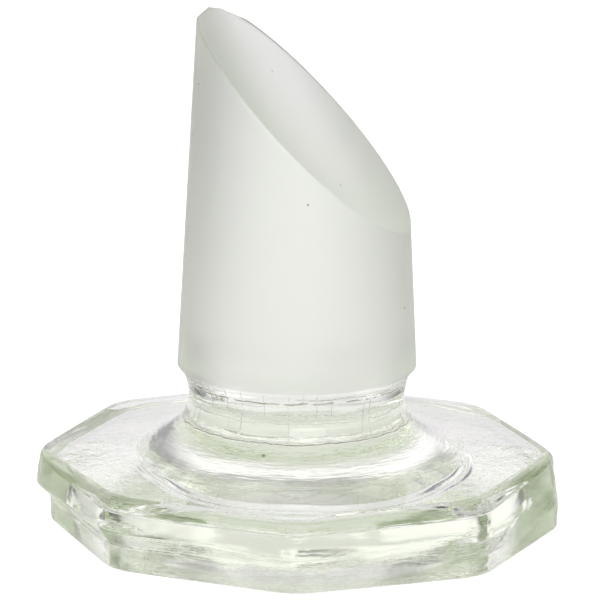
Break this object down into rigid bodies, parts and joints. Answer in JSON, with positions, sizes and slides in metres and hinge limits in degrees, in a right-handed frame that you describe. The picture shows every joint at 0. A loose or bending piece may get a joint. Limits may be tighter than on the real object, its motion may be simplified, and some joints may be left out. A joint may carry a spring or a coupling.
{
  "type": "glass stopper",
  "caption": "Solid glass stopper: a ground conical plug cut at a slant across its tip, a clear waist and a flat octagonal head to grip, which it also stands on.",
  "frame": {"origin": "centre of the head's flat face, on the plug's axis", "axes": "+Z along the plug's axis, from the head towards the slanted tip; +X towards the low side of the slanted cut, within about 14 degrees; a corner of the head lies on each end of X and Y"},
  "size_m": [0.0319, 0.0318, 0.0315],
  "materials": {
    "glass": "pressed and fire-polished head and neck, plug and cut ground matt"
  },
  "bodies": {
    "root": {"glass_stopper": "glass"}
  },
  "joints": []
}
